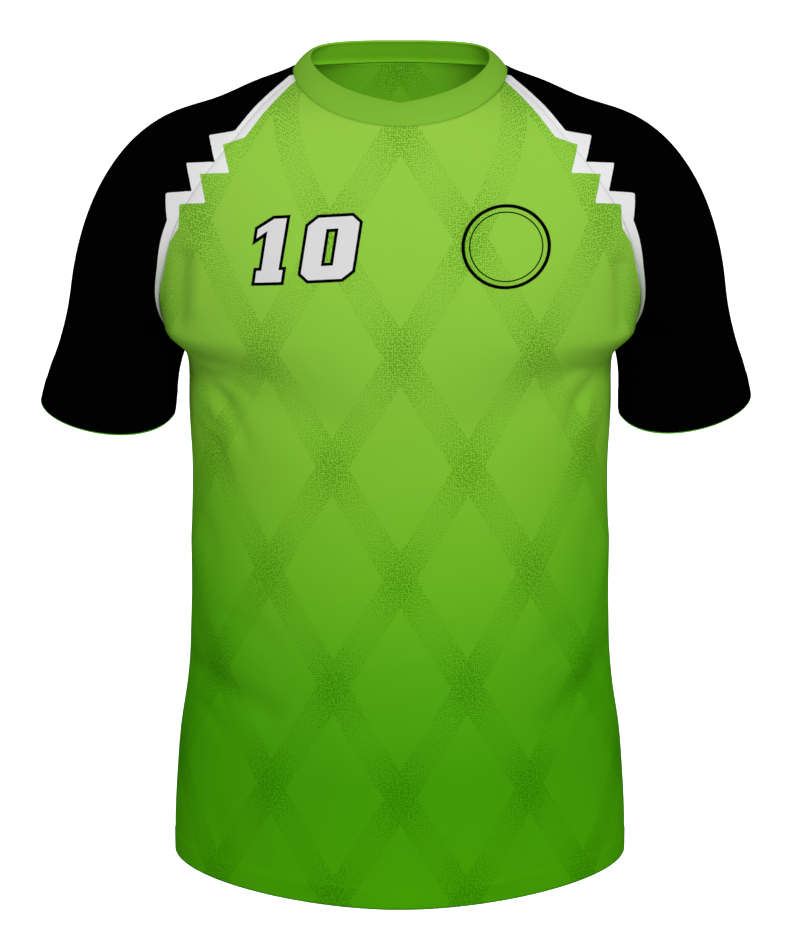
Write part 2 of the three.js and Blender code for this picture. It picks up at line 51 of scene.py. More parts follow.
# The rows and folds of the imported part, in millimetres, in the same columns as its source.
BODY_COLUMNS = ("x", "out", "z", "mid_out", "mid_z", "yaw", "pitch", "rise", "mid_reach")
FRONT_ROWS = (
    (91.5, 20, -5.5, 85, -42.5, 21, 65, 62, 0.55),
    (118, 58, -27, 91, -66, 20, 48, 30, 0.55),
    (137, 72, -49, 97, -84, 20, 36, 18, 0.55),
    (156, 80, -71, 103, -101, 21, 26, 10, 0.55),
    (172, 81, -93, 108, -118, 24, 18, 6, 0.55),
    (186, 77, -115, 113, -136, 31, 12, 3, 0.55),
    (197, 69, -140, 118, -156, 41, 7, 0, 0.55),
    (205, 55, -167, 122, -179, 55, 3, 0, 0.55),
    (210.5, 36, -197, 124, -205, 71, 0, 0, 0.55),
    (205, 18, -223, 125, -231, 82, 0, 0, 0.55),
    (190.5, 0, -247, 125, -257, 90, 0, 0, 0.55),
    (188.8, 0, -295, 123, -303, 90, 0, 0, 0.54),
    (187, 0, -345, 121, -352, 90, 0, 0, 0.52),
    (188, 0, -395, 120, -402, 90, 0, 0, 0.5),
    (189, 0, -446, 121, -453, 90, 0, 0, 0.48),
    (191, 0, -500, 123, -507, 90, 0, 0, 0.45),
    (194.8, 0, -552, 126, -559, 90, 0, 0, 0.43),
    (201.5, 0, -594, 129, -601, 90, 0, 0, 0.42),
    (206, 0, -639, 131, -647, 90, 0, 0, 0.42),
    (208.8, 0, -682, 132, -691, 90, 0, 0, 0.43),
    (209.3, 0, -718, 132, -728, 90, 0, 0, 0.43),
)
BACK_ROWS = (
    (90.5, 21, 2.5, 58, 2, 40, 64, 18, 0.55),
    (114, 57, -20, 73, -24, 22, 48, 20, 0.55),
    (132, 74, -43, 85, -48, 18, 36, 10, 0.55),
    (150, 84, -67, 95, -72, 19, 27, 6, 0.55),
    (166, 87, -91, 103, -96, 23, 19, 3, 0.55),
    (180, 84, -115, 109, -121, 30, 13, 0, 0.55),
    (191, 75, -141, 113, -148, 41, 8, 0, 0.55),
    (199, 59, -168, 115.5, -176, 55, 3, 0, 0.55),
    (205, 39, -197, 116, -205, 71, 0, 0, 0.55),
    (201, 19, -223, 115, -232, 82, 0, 0, 0.55),
    (190.5, 0, -247, 113.5, -258, 90, 0, 0, 0.55),
    (188.8, 0, -295, 109, -303, 90, 0, 0, 0.55),
    (187, 0, -345, 104, -352, 90, 0, 0, 0.55),
    (188, 0, -395, 101, -402, 90, 0, 0, 0.55),
    (189, 0, -446, 102, -453, 90, 0, 0, 0.54),
    (191, 0, -500, 107, -507, 90, 0, 0, 0.52),
    (194.8, 0, -552, 114, -559, 90, 0, 0, 0.5),
    (201.5, 0, -594, 120, -601, 90, 0, 0, 0.48),
    (206, 0, -639, 125, -646, 90, 0, 0, 0.47),
    (208.8, 0, -682, 127, -690, 90, 0, 0, 0.46),
    (209.3, 0, -718, 128, -727, 90, 0, 0, 0.46),
)
SLEEVE_COLUMNS = ("top_x", "top_y", "top_z", "rise", "crease", "seam_reach", "top_reach", "dip")
SLEEVE_ROWS = (
    (93.5, 0, 0, 62, 0, 7, 7, 0),
    (127, 3, -11.5, 66, 0, 24, 25, 0),
    (159.5, 4, -25.5, 56, 0, 32, 34, 0),
    (194, 4, -36, 42, 0, 38, 40, 0),
    (224.5, 3, -53, 27, 2, 42, 45, 0),
    (248.5, 1, -78, 14, 9, 42, 48, 0),
    (267, -1, -109, 6, 30, 43, 53, 0),
    (279.5, -2, -142.5, 2, 70, 46, 63, 1),
    (287, -3, -176, 0, 121, 56, 78, 3),
    (292.5, -3, -209.5, 0, 154, 74, 86, 5),
    (302, -3, -243, 0, 160, 88, 87, 8),
    (308, -3, -259, 0, 165, 92, 83, 10),
    (313, -3, -275, 0, 170, 96, 76, 12),
    (317, -3, -291, 0, 174, 101, 67, 13),
)
UNDERARM_COLUMNS = ("x", "z")
UNDERARM = ((190.5, -247), (195.5, -264), (198.5, -284), (201, -304))
# How far each sleeve's top line lies out and up from that table at its cuff, and its underarm seam out.
SLEEVE_LIE = {"right": (-3.7, 5, -5.5), "left": (3.7, 0, 0)}
LIE_FROM_ROW = 4
# Points of the neck band's free edge, from the middle of the front round to the middle of the back.
NECK_EDGE = (
    (0, -70, -24),
    (24, -66, -19.5),
    (49, -54, -12),
    (67.5, -36, -2),
    (76.5, -15, 7),
    (77.5, 2, 13.5),
    (73, 20, 17.5),
    (58, 34, 20.3),
    (30, 42.5, 21.5),
    (0, 45, 21.5),
)
ARMPIT_ROW = 10
SIDE_REACH = 0.6  # how far a body row's curve leaves its seam straight, as a share of its depth
COLLAR_BAND = 2.4  # the neck band is folded double
BAND_SWELL = 1.2  # how far it stands out halfway up
FOLD_FADE = 22  # how far from a piece's edge a fold reaches its full height
# Each fold: its face, from x, z to x, z, its half width and its height.
FOLDS = (
    ("front", -120, -175, -70, -205, 60, 4),
    ("front", 120, -175, 70, -205, 60, 4),
    ("front", -150, -262, -62, -292, 26, -3.5),
    ("front", 150, -258, 66, -296, 26, -3),
    ("front", -186, -156, -192, -210, 9, -3.5),
    ("front", 188, -162, 191, -214, 8, -3),
    ("front", -168, -150, -174, -196, 8, 1.6),
    ("front", 181, -262, 160, -281, 10, -3),
    ("front", -181, -268, -158, -282, 10, -2.5),
    ("front", -186, -531, -120, -556, 14, -3.5),
    ("front", 188, -520, 136, -568, 15, -3.5),
    ("front", 182, -420, 158, -520, 18, 2.5),
    ("front", -180, -420, -150, -510, 20, 2),
    ("front", -40, -585, -75, -700, 24, 2.5),
    ("front", 52, -570, 84, -705, 26, 2.5),
    ("front", 8, -600, 4, -715, 22, -2),
    ("front", -232, -176, -262, -246, 10, -3),
    ("front", -222, -206, -240, -262, 8, 2),
    ("front", 226, -168, 256, -232, 10, -3),
    ("front", 238, -214, 270, -268, 9, 2),
    ("back", -118, -120, -96, -190, 46, 4),
    ("back", 118, -120, 96, -190, 46, 4),
    ("back", 0, -110, 3, -330, 26, -4),
    ("back", -176, -206, -128, -268, 12, -3.5),
    ("back", 178, -212, 132, -262, 12, -3.5),
    ("back", -130, -372, -20, -398, 17, -3.5),
    ("back", -22, -430, 118, -408, 18, -3.5),
    ("back", -140, -420, -60, -440, 16, 2),
    ("back", 168, -520, 110, -566, 15, -3),
    ("back", -166, -530, -104, -560, 15, -3),
    ("back", 44, -560, 62, -700, 26, 3),
    ("back", -52, -580, -66, -705, 24, 3),
    ("back", -230, -182, -258, -250, 10, -3),
    ("back", 228, -176, 260, -242, 10, -3),
)


def unit(vectors):
    return vectors / np.linalg.norm(vectors, axis=-1, keepdims=True)


def spline(values):
    """The smooth curve through a table's column, a natural cubic with a knot at each row."""
    values = np.array(values, float)
    last = len(values) - 1
    system = np.eye(last + 1)
    bend = np.zeros(last + 1)
    for i in range(1, last):
        system[i, i - 1 : i + 2] = 1, 4, 1
        bend[i] = 6 * (values[i + 1] - 2 * values[i] + values[i - 1])
    bend = np.linalg.solve(system, bend)

    def at(number):
        i = min(max(math.floor(number), 0), last - 1)
        b = number - i
        a = 1 - b
        curved = ((a**3 - a) * bend[i] + (b**3 - b) * bend[i + 1]) / 6
        return a * values[i] + b * values[i + 1] + curved

    return at


def columns_of(names, rows):
    """A table as a function of the row number, which may lie between rows."""
    curves = {name: spline(column) for name, column in zip(names, zip(*rows))}
    return lambda number: {name: curve(number) for name, curve in curves.items()}


front = columns_of(BODY_COLUMNS, FRONT_ROWS)
back = columns_of(BODY_COLUMNS, BACK_ROWS)
sleeve = columns_of(SLEEVE_COLUMNS, SLEEVE_ROWS)
underarm = columns_of(UNDERARM_COLUMNS, UNDERARM)


def turned(vector, degrees):
    """A vector turned clockwise about the vertical, seen from above."""
    x, y, z = vector
    c, s = math.cos(math.radians(degrees)), math.sin(math.radians(degrees))
    return np.array([c * x + s * y, c * y - s * x, z])


def seam_at(panel, number):
    """Where a row of a body panel ends, and how the cloth faces and runs there, seen as a front."""
    step = 0.01
    end, a, b = panel(number), panel(number - step), panel(number + step)
    point = np.array([end["x"], -end["out"], end["z"]])
    along = unit(np.array([b["x"] - a["x"], a["out"] - b["out"], b["z"] - a["z"]]))
    yaw, pitch = math.radians(end["yaw"]), math.radians(end["pitch"])
    facing = np.array(
        [
            math.sin(yaw) * math.cos(pitch),
            -math.cos(yaw) * math.cos(pitch),
            math.sin(pitch),
        ]
    )
    facing = unit(facing - along * facing.dot(along))
    level = unit(np.array([-facing[1], facing[0], 0]))
    uphill = np.cross(facing, level)

    def leaving(rise):
        turn = math.radians(rise)
        return level * math.cos(turn) + uphill * math.sin(turn)

    own = leaving(end["rise"])
    if number > ARMPIT_ROW:
        return point, facing, own, own, facing
    arm = sleeve(number)
    following = turned(leaving(arm["rise"]), arm["crease"])
    return point, facing, own, following, unit(np.cross(along, following))


def spaced(start, first, second, end, shares):
    """Points at these shares of the length of a cubic Bezier curve."""
    t = np.linspace(0, 1, 241)[:, None]
    curve = (1 - t) ** 3 * start + 3 * (1 - t) ** 2 * t * first
    curve = curve + 3 * (1 - t) * t**2 * second + t**3 * end
    steps = np.linalg.norm(np.diff(curve, axis=0), axis=1)
    gone = np.concatenate([[0], np.cumsum(steps)])
    return np.stack([np.interp(shares * gone[-1], gone, curve[:, k]) for k in range(3)], 1)


def body_half_row(panel, number, shares):
    """Half a row of a body panel, from the middle to the seam, and the two facings at the seam."""
    row = panel(number)
    end, facing, own, _, beyond = seam_at(panel, number)
    middle = np.array([0, -row["mid_out"], row["mid_z"]])
    depth = math.hypot(end[1] - middle[1], end[2] - middle[2])
    straight = np.array([row["mid_reach"] * end[0], 0, 0])
    points = spaced(middle, middle + straight, end - own * SIDE_REACH * depth, end, shares)
    return points, facing, beyond


def sleeve_half_row(panel, number, half, shares, lie):
    """Half a row of a sleeve, from its seam to the top line, and the two facings at the seam."""
    row = sleeve(number)
    out, up, under_out = lie
    last = len(SLEEVE_ROWS) - 1
    share = min(max((number - LIE_FROM_ROW) / (last - LIE_FROM_ROW), 0), 1)
    top = np.array([row["top_x"] + out * share, row["top_y"] * half, row["top_z"] + up * share])

    def ahead(slope):
        return np.array([0, -math.cos(math.radians(slope)), -half * math.sin(math.radians(slope))])

    if number > ARMPIT_ROW:
        under = underarm(number - ARMPIT_ROW)
        under_share = (number - ARMPIT_ROW) / (last - ARMPIT_ROW)
        start = np.array([under["x"] + under_out * under_share, 0, under["z"]])
        leave = turned(ahead(row["dip"] * under_share), row["crease"] - 180)
        facing = beyond = np.array([-1.0, 0, 0])
    else:
        start, beyond, _, leave, facing = seam_at(panel, number)
    second = top + ahead(row["dip"]) * row["top_reach"]
    points = spaced(start, start + leave * row["seam_reach"], second, top, shares)
    return points, facing, beyond


def mirrored(axis, vectors):
    flip = np.ones(3)
    flip[axis] = -1
    return vectors * flip


def body_sheet(panel, side, numbers, shares):
    """Rows of points on a body panel's outer face, from the left seam to the right one."""
    rows, ends, dips = [], [], []
    for number in numbers:
        points, facing, beyond = body_half_row(panel, number, shares)
        rows.append(np.concatenate([mirrored(0, points[:0:-1]), points]))
        ends.append([mirrored(0, facing), facing])
        dip = unit(facing + beyond)
        dips.append([mirrored(0, dip), dip])
    parts = [np.array(part) for part in (rows, ends, dips)]
    return parts if side == "front" else [mirrored(1, part) for part in parts]


def sleeve_sheet(side, numbers, shares):
    """Rows of points on a sleeve's outer face, from the front seam over the top to the back one."""
    rows, ends, dips = [], [], []
    for number in numbers:
        lie = SLEEVE_LIE[side]
        fore, fore_facing, fore_beyond = sleeve_half_row(front, number, 1, shares, lie)
        aft, aft_facing, aft_beyond = sleeve_half_row(back, number, -1, shares, lie)
        rows.append(np.concatenate([fore, mirrored(1, aft)[-2::-1]]))
        ends.append([fore_facing, mirrored(1, aft_facing)])
        dips.append([unit(fore_facing + fore_beyond), mirrored(1, unit(aft_facing + aft_beyond))])
    parts = [np.array(part) for part in (rows, ends, dips)]
    return parts if side == "right" else [mirrored(0, part) for part in parts]


def facings(rows, ends, winding):
    """The outward direction at each point. winding is -1 where a row runs the other way round."""
    down = np.concatenate([rows[1:], rows[-1:]]) - np.concatenate([rows[:1], rows[:-1]])
    across = np.zeros_like(rows)
    across[:, 1:-1] = rows[:, 2:] - rows[:, :-2]
    across[:, 0], across[:, -1] = rows[:, 1] - rows[:, 0], rows[:, -1] - rows[:, -2]
    normals = unit(np.cross(down, across)) * winding
    normals[:, 0], normals[:, -1] = ends[:, 0], ends[:, 1]
    return normals


# What only the eye needs: finer folds than the solids have. Each runs from x, z to x, z on a face, bowed
# sideways by bow at its middle, with its half width and its height there. It dies out at both ends.
FINE_FOLDS = (
    ("front", -184, -252, -126, -334, 8, 8.0, -2.6),
    ("front", -160, -300, -142, -372, -6, 9.0, -1.6),
    ("front", -188, -262, -118, -282, 9, 6.0, -1.2),
    ("front", -184, -280, -136, -312, -7, 5.5, -1.3),
    ("front", -187, -300, -150, -344, 6, 5.0, -1.0),
    ("front", -190, -246, -140, -250, -5, 5.0, 1.0),
    ("front", 184, -250, 140, -322, -7, 8.0, -2.2),
    ("front", 166, -274, 150, -350, 5, 8.0, 1.6),
    ("front", 188, -258, 112, -276, -9, 6.5, -1.2),
    ("front", 185, -276, 140, -306, 6, 5.0, -1.3),
    ("front", 186, -296, 146, -352, -8, 6.0, -1.1),
    ("front", 190, -244, 146, -243, 5, 5.0, 1.0),
    ("front", -186, -372, -166, -452, 8, 8.0, -1.4),
    ("front", 186, -366, 168, -470, -8, 9.0, -1.4),
    ("front", -176, -470, -96, -520, 14, 11.0, -1.2),
    ("front", 178, -476, 104, -534, -12, 11.0, -1.3),
    ("front", -194, -556, -150, -602, 8, 8.0, -1.2),
    ("front", 196, -558, 152, -600, -8, 8.5, -1.3),
    ("front", -120, -604, -112, -708, 6, 12.0, 1.3),
    ("front", -164, -632, -160, -712, -4, 10.0, -1.2),
    ("front", 132, -612, 124, -712, -6, 12.0, -1.2),
    ("front", 176, -628, 172, -712, 4, 10.0, 1.2),
    ("front", -96, -76, -30, -92, -8, 9.0, -0.8),
    ("front", 98, -74, 36, -94, 8, 9.0, -0.8),
    ("front", -214, -150, -238, -208, 6, 6.0, -1.2),
    ("front", -246, -176, -284, -240, 5, 7.0, -0.9),
    ("front", 212, -146, 240, -212, -6, 6.0, -1.2),
    ("front", 250, -182, 288, -246, -5, 7.0, -0.9),
    ("back", -186, -258, -110, -276, 8, 6.5, -1.6),
    ("back", -184, -284, -132, -322, -7, 6.0, -1.3),
    ("back", 187, -262, 118, -286, -8, 6.0, -1.6),
    ("back", 184, -288, 138, -330, 7, 6.0, -1.2),
    ("back", -150, -330, -64, -352, 12, 9.0, -1.5),
    ("back", 146, -346, 60, -360, -12, 9.0, -1.4),
    ("back", -104, -446, 20, -462, -14, 10.0, -1.7),
    ("back", 30, -380, 130, -372, 10, 8.0, 1.2),
    ("back", -160, -478, -80, -520, 12, 10.0, -1.4),
    ("back", 166, -470, 84, -516, -12, 10.0, -1.4),
    ("back", -110, -600, -118, -706, 5, 11.0, 1.4),
    ("back", 108, -606, 120, -708, -5, 12.0, 1.3),
    ("back", 4, -596, -6, -706, 4, 13.0, -1.4),
    ("back", -168, -628, -164, -710, -4, 10.0, -1.2),
    ("back", 170, -626, 166, -710, 4, 10.0, -1.2),
    ("back", -212, -158, -240, -216, 6, 6.0, -1.2),
    ("back", 214, -152, 242, -218, -6, 6.0, -1.2),
)
SEAM_DIP, SEAM_DIP_WIDTH = 0.7, 2.2  # the groove along every seam
HEM_DEPTH, CUFF_DEPTH = 20, 18  # turned hems of the body and of the sleeves
HEM_STEP = 0.5  # how far the doubled cloth of a hem stands out
THREAD_LENGTH, THREAD_WIDTH, STITCH_PITCH = 2.3, 0.45, 3.1
THREAD_OUT = 0.1  # how far the middle of a thread stands out of the cloth
ROW_APART = 6.0  # between the two needle rows of a hem
CLOTH_SHOWN = 0.8  # wall of the cloth as shown
BODY_STEPS = (102, 164)  # rows above and below the armpit
SLEEVE_STEPS = (92, 24)
CUFF_TRIM = 0.05  # the share of the last row where the cuff's green inside shows at its edge
BODY_HALF_STEPS, SLEEVE_HALF_STEPS = 80, 64
COLLAR_STATIONS = 400
SEAM_THICK = 1.2  # the neck band where it is sewn on
BAND_FULL = 0.6  # how far up the neck band has its whole thickness
NECK_THREAD_DOWN, NECK_THREAD_PITCH, NECK_THREAD_LENGTH = 1.4, 7.0, 4.0
NECK_THREADS_FROM = 18  # columns of the back between the neck threads and each raglan seam
CROWD = 0.4  # how much closer the columns stand near a seam than at the middle
BEHIND = 0.1  # metres from a body panel's box to a point that is surely inside the jersey


def numbers_of(last, steps):
    """Row numbers, evenly spread above the armpit row and below it."""
    above = np.linspace(0, ARMPIT_ROW, steps[0] + 1)
    below = np.linspace(ARMPIT_ROW, last, steps[1] + 1)
    return np.concatenate([above, below[1:]])


def shares_of(steps, at_end):
    """Shares of a half row from 0 to 1, closer together at its seam end."""
    u = np.linspace(0, 1, steps + 1)
    crowded = u * (1 + CROWD * (1 - u))
    return crowded if at_end else 1 - crowded[::-1]


def line_fold(points, fold):
    """A fold of the solids: its height over the points."""
    face, from_x, from_z, to_x, to_z, width, height = fold
    start = np.array([from_x, from_z])
    line = np.array([to_x, to_z]) - start
    here = points[..., [0, 2]] - start
    along = np.clip(here @ line / (line @ line), 0, 1)
    away = np.linalg.norm(here - along[..., None] * line, axis=-1) / width
    return height * np.exp(-(away**2)) * ((points[..., 1] < 0) == (face == "front"))


def fine_fold(points, fold):
    """A finer fold, bowed and tapered: its height over the points."""
    face, from_x, from_z, to_x, to_z, bow, width, height = fold
    start = np.array([from_x, from_z])
    line = np.array([to_x, to_z]) - start
    length = np.linalg.norm(line)
    here = points[..., [0, 2]] - start
    along = here @ line / length**2
    side = here @ np.array([-line[1], line[0]]) / length
    inside = np.clip(along, 0, 1)
    taper = np.sin(math.pi * inside)
    away = (side - bow * taper) / (width * (0.6 + 0.4 * taper))
    off = np.exp(-(away**2)) * taper**1.3
    return height * off * ((points[..., 1] < 0) == (face == "front"))


def smooth(values):
    held = np.clip(values, 0, 1)
    return held * held * (3 - 2 * held)


def lengths_along(rows, axis):
    """How far each point lies along its row or column, from the first one."""
    steps = np.linalg.norm(np.diff(rows, axis=axis), axis=-1)
    gone = np.zeros(rows.shape[:2])
    if axis == 1:
        gone[:, 1:] = np.cumsum(steps, axis=1)
    else:
        gone[1:] = np.cumsum(steps, axis=0)
    return gone


def dressed(sheet, winding, hem):
    """A sheet with its folds, its turned hem and the grooves along its seams."""
    rows, ends, dips = sheet
    normals = facings(rows, ends, winding)
    edges = [rows[:, :1], rows[:, -1:], rows[:1], rows[-1:]]
    away = [np.linalg.norm(rows - edge, axis=-1) for edge in edges]
    lift = sum(line_fold(rows, fold) for fold in FOLDS)
    lift = lift + sum(fine_fold(rows, fold) for fold in FINE_FOLDS)
    lift = lift * smooth(np.min(away, axis=0) / FOLD_FADE)
    down = lengths_along(rows, 0)
    left = down[-1] - down
    lift = lift + HEM_STEP * smooth((hem + 1 - left) / 2) * smooth(np.minimum(*away[:2]) / 6)
    seams = np.min(away[:3], axis=0)
    dip = SEAM_DIP * np.exp(-((seams / SEAM_DIP_WIDTH) ** 2))
    ways = normals.copy()
    ways[:, 0], ways[:, -1] = dips[:, 0], dips[:, 1]
    return rows + normals * lift[..., None] - ways * dip[..., None]


def raglan_seam(panel):
    """Points along a raglan seam, seen as the right front one, and their distance from the neck."""
    points = np.array([seam_at(panel, n)[0] for n in np.linspace(0, ARMPIT_ROW, 1201)])
    steps = np.linalg.norm(np.diff(points, axis=0), axis=1)
    return points, np.concatenate([[0], np.cumsum(steps)])


def raglan_place(rows, side):
    """For each point the distance from the nearest raglan seam, and how far down that seam it lies."""
    seen = np.abs(rows) * np.array([1, -1, 0]) + rows * np.array([0, 0, 1])
    best = np.full(rows.shape[:2], 1e9)
    gone = np.zeros(rows.shape[:2])
    for panel, face in ((front, -1), (back, 1)):
        points, lengths = raglan_seam(panel)
        for i, row in enumerate(seen):
            far = np.linalg.norm(row[:, None] - points[None], axis=2)
            nearest = far.argmin(axis=1)
            distance = far[np.arange(len(row)), nearest]
            own = (rows[i, :, 1] * face > -1e-6) & (distance < best[i])
            best[i][own], gone[i][own] = distance[own], lengths[nearest][own]
    return best * side, gone


def in_scene(name, data, *finishes):
    """A new object of the scene with these materials."""
    made = bpy.data.objects.new(name, data)
    bpy.context.scene.collection.objects.link(made)
    for finish in finishes:
        made.data.materials.append(finish)
    return made


def mesh_of(bm, name):
    """A mesh made of a bmesh, which is freed."""
    mesh = bpy.data.meshes.new(name)
    bm.to_mesh(mesh)
    bm.free()
    return mesh


def smooth_shaded(mesh):
    mesh.polygons.foreach_set("use_smooth", np.ones(len(mesh.polygons), bool))


def sheet_object(name, rows, maps, finishes, trimmed=False):
    """A grid of quads laid on rows of points in millimetres, with these UV maps.

    The last strip of a trimmed sheet takes the next material.
    """
    high, wide = rows.shape[:2]
    bm = bmesh.new()
    bmesh.ops.create_grid(bm, x_segments=wide - 1, y_segments=high - 1, size=0.5)
    mesh = mesh_of(bm, name)
    flat = np.zeros(len(mesh.vertices) * 3)
    mesh.vertices.foreach_get("co", flat)
    flat = flat.reshape(-1, 3)
    k = np.rint((flat[:, 0] + 0.5) * (wide - 1)).astype(int)
    i = np.rint((0.5 - flat[:, 1]) * (high - 1)).astype(int)
    mesh.vertices.foreach_set("co", (rows[i, k] * MM).ravel())
    corners = np.zeros(len(mesh.loops), int)
    mesh.loops.foreach_get("vertex_index", corners)
    for title, (u, v) in maps.items():
        layer = mesh.uv_layers.new(name=title)
        both = np.stack([u[i, k], v[i, k]], axis=1)[corners] * MM
        layer.data.foreach_set("uv", both.ravel())
    smooth_shaded(mesh)
    if trimmed:
        low = i[corners] >= high - 2
        low_strip = (low[::4] & low[2::4]).astype(np.int32)
        mesh.polygons.foreach_set("material_index", low_strip)
    mesh.update()
    return in_scene(name, mesh, *finishes)


def faces_point_out(obj, middle):
    """Turns a sheet's faces over where they point towards a point inside it."""
    mesh = obj.data
    towards = sum(p.normal.dot(p.center - middle) * p.area for p in mesh.polygons)
    if towards < 0:
        mesh.flip_normals()


def thicken(obj, thickness):
    """Gives a sheet its wall, inwards from its face. Its inner side takes the next material."""
    wall = obj.modifiers.new("cloth wall", "SOLIDIFY")
    wall.thickness = thickness * MM
    wall.offset = -1
    wall.use_even_offset = False
    wall.material_offset = 1
    wall.material_offset_rim = 1
    wall.use_quality_normals = True


def add(tree, kind, inputs, out=0, **settings):
    """Adds a node with its settings, its inputs set or linked by name or place, and gives an output."""
    made = tree.nodes.new("ShaderNode" + kind)
    for name, value in settings.items():
        setattr(made, name, value)
    for key, value in inputs.items():
        if isinstance(value, bpy.types.NodeSocket):
            tree.links.new(value, made.inputs[key])
        else:
            made.inputs[key].default_value = value
    return made.outputs[out]


def mixed(tree, share, first, second, blend="MIX"):
    """Two colours mixed."""
    inputs = {0: share, 6: first, 7: second}
    return add(tree, "Mix", inputs, out=2, data_type="RGBA", blend_type=blend)


def linear(code):
    """An sRGB hex colour as Blender's linear RGBA."""
    parts = [int(code[i : i + 2], 16) / 255 for i in (0, 2, 4)]
    low = [c / 12.92 if c <= 0.04045 else ((c + 0.055) / 1.055) ** 2.4 for c in parts]
    return (*low, 1)


def material(name, roughness, specular):
    """A new material, its node tree and its shader, with the values that are the same all over."""
    made = bpy.data.materials.new(name)
    made.use_nodes = True
    tree = made.node_tree
    shader = tree.nodes["Principled BSDF"]
    shader.inputs["Roughness"].default_value = roughness
    shader.inputs["Specular IOR Level"].default_value = specular
    return made, tree, shader


def shape_curve(node, rows, across, handle):
    """Sets a curve node to pass through rows of (place, value), each a share of across."""
    points = node.mapping.curves[0].points
    for place, value in rows[1:-1]:
        points.new(place / across[0], 0.5 + value / across[1])
    for point, (place, value) in zip((points[0], points[-1]), (rows[0], rows[-1])):
        point.location = (place / across[0], 0.5 + value / across[1])
    for point in points:
        point.handle_type = handle
    node.mapping.update()


# The white stripe that runs along the raglan seams, in millimetres down the seam from the neck: its
# centre, out from the seam on the sleeve's side, and half its width. Its teeth are of one size.
STRIPE = (
    (0, -0.5, 5.0),
    (45, -1.8, 5.6),
    (84, -2.0, 6.0),
    (100, 13.0, 8.6),
    (116, -9.0, 8.6),
    (132, 13.0, 8.4),
    (148, -7.0, 8.4),
    (164, 13.0, 8.2),
    (182, 2.0, 6.4),
    (200, 3.6, 4.0),
    (228, 1.9, 3.2),
    (262, 1.8, 2.3),
    (300, 0.6, 1.4),
    (340, 0.0, 0.0),
)
STRIPE_ACROSS = 80  # a range that holds every centre and half width, so that the curves stay in 0 to 1
DIAMOND_WIDE, DIAMOND_HIGH = 118, 196  # the printed lattice's cell
BAND_HALF = 12.5  # half the breadth of its printed bands
DOT_APART = 2.0  # between the dots that the bands are made of
KNIT_WALE = 2.2  # the real loops stand about 0.8 mm apart, and are drawn coarser so that they show
# The ground's colours, from the neck down, each with its place as a share of the panel's length.
GROUND = (
    (0.0, "8CC141"),
    (0.12, "89BF3F"),
    (0.3, "80BD37"),
    (0.42, "78B92D"),
    (0.54, "67B120"),
    (0.66, "51A413"),
    (0.78, "429B08"),
    (0.9, "459F05"),
    (1.0, "429E03"),
)
PANEL_LONG = 740  # the ground runs over this length of a body panel
# Painted shade, where the sides turn away from the light: the green is painted deeper by the side seams,
# halfway down:
# how far down the ramp it lies there, and the distances from the middle, in metres, and shares of the
# panel's length over which that comes and goes.
SIDE_SHADE_DEPTH = 0.1
SIDE_SHADE_BEGINS, SIDE_SHADE_FULL = 0.1, 0.21
SHADE_DOWN_BEGINS, SHADE_DOWN_FULL = 0.3, 0.45
SHADE_DOWN_FADES, SHADE_DOWN_GONE = 0.65, 0.85
DOT_FULL = 0.43  # the radius of the largest dots, as a share of the distance between dots
DOT_EDGE_IN, DOT_EDGE_OUT = 0.09, 0.05  # the softness of a dot's edge on both sides of that radius
BAND_FADES = 0.42  # how far along a diamond's side the print has lost half its strength
INSIDE_PAINTED_SHADE_TINT = (0.84, 1.29, 0.43, 1)  # painted shade and green bounce light: the inside is tinted deeper green, as if lit by its own green walls


def across_and_down(tree, place):
    """The two parts of a place on the cloth."""
    across = add(tree, "SeparateXYZ", {0: place})
    return across, across.node.outputs[1]


def cloth_place(tree):
    """How far across and down its piece a point of the cloth lies, in metres."""
    place = add(tree, "UVMap", {}, uv_map="cloth")
    return place, *across_and_down(tree, place)


def knit_bump(tree, shader, place, strength):
    """Wales and courses of an interlock knit, with a slight unevenness of the yarn."""
    grown = add(tree, "VectorMath", {0: place, 3: 1000 / KNIT_WALE}, operation="SCALE")
    across, down = across_and_down(tree, grown)
    wale = add(tree, "Math", {0: across, 1: 0.5}, operation="PINGPONG")
    course = add(tree, "Math", {0: down, 1: 0.5}, operation="PINGPONG")
    loops = add(tree, "Math", {0: wale, 1: course}, operation="MULTIPLY")
    yarn = add(tree, "TexNoise", {"Vector": place, "Scale": 420.0, "Detail": 2.0})
    height = add(tree, "Math", {0: loops, 1: 1.6, 2: yarn}, operation="MULTIPLY_ADD")
    bump = add(tree, "Bump", {"Height": height, "Strength": strength, "Distance": 0.0004})
    tree.links.new(bump, shader.inputs["Normal"])


